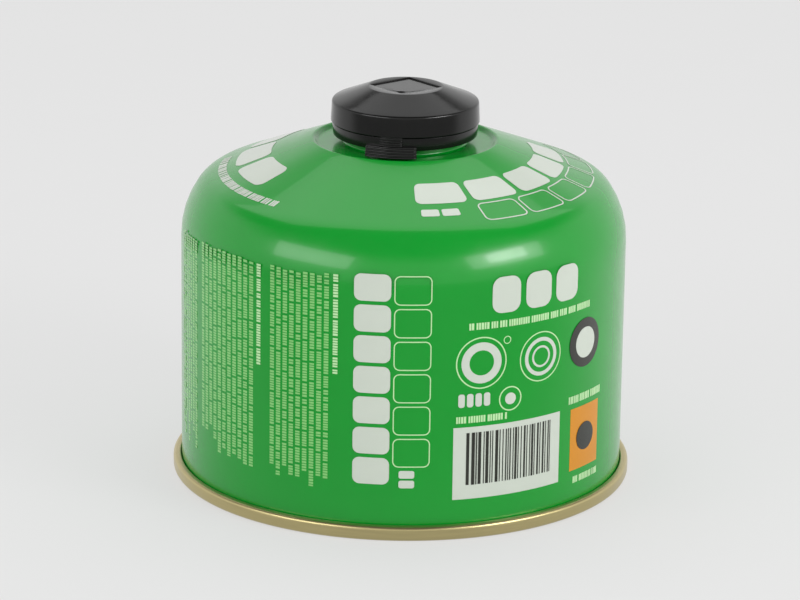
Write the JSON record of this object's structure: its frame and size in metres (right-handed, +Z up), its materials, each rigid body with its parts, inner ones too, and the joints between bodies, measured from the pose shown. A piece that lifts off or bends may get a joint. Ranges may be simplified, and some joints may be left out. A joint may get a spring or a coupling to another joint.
{
  "type": "gas canister",
  "caption": "Round drawn-steel gas canister with a sloping dome, a seamed bottom end, a screw valve and a snap cap over the valve.",
  "frame": {"origin": "centre of the circle that the bottom seam stands on", "axes": "+Z up along the can's axis; -Y faces the viewer of the picture, with the cap's lifting tab 11 degrees to the left of -Y"},
  "size_m": [0.11, 0.11, 0.0942],
  "materials": {
    "printed_steel": "glossy printed enamel on drawn steel",
    "gold_lacquer": "gold lacquer on tinplate, satin",
    "tinplate": "bright pressed tinplate",
    "gasket_rubber": "matt black",
    "acetal": "moulded, natural white",
    "spring_steel": "drawn wire",
    "black_plastic": "moulded black, semi-gloss"
  },
  "bodies": {
    "can": {"can_body": "printed_steel", "bottom_end": "gold_lacquer", "valve_cup": "tinplate", "cup_gasket": "gasket_rubber", "stem_gasket": "gasket_rubber", "valve_housing": "acetal", "valve_spring": "spring_steel"},
    "stem": {"valve_stem": "acetal"},
    "cap": {"cap": "black_plastic"}
  },
  "joints": [
    {"name": "cap_lift", "type": "slide", "parent": "can", "child": "cap", "axis": [0, 0, 1], "range_m": [0, 0.03]},
    {"name": "stem_press", "type": "slide", "parent": "can", "child": "stem", "axis": [0, 0, -1], "range_m": [0, 0.0015], "stiffness_N_per_m": 1500, "springref_m": -0.003, "deforming": ["valve_spring"]}
  ]
}
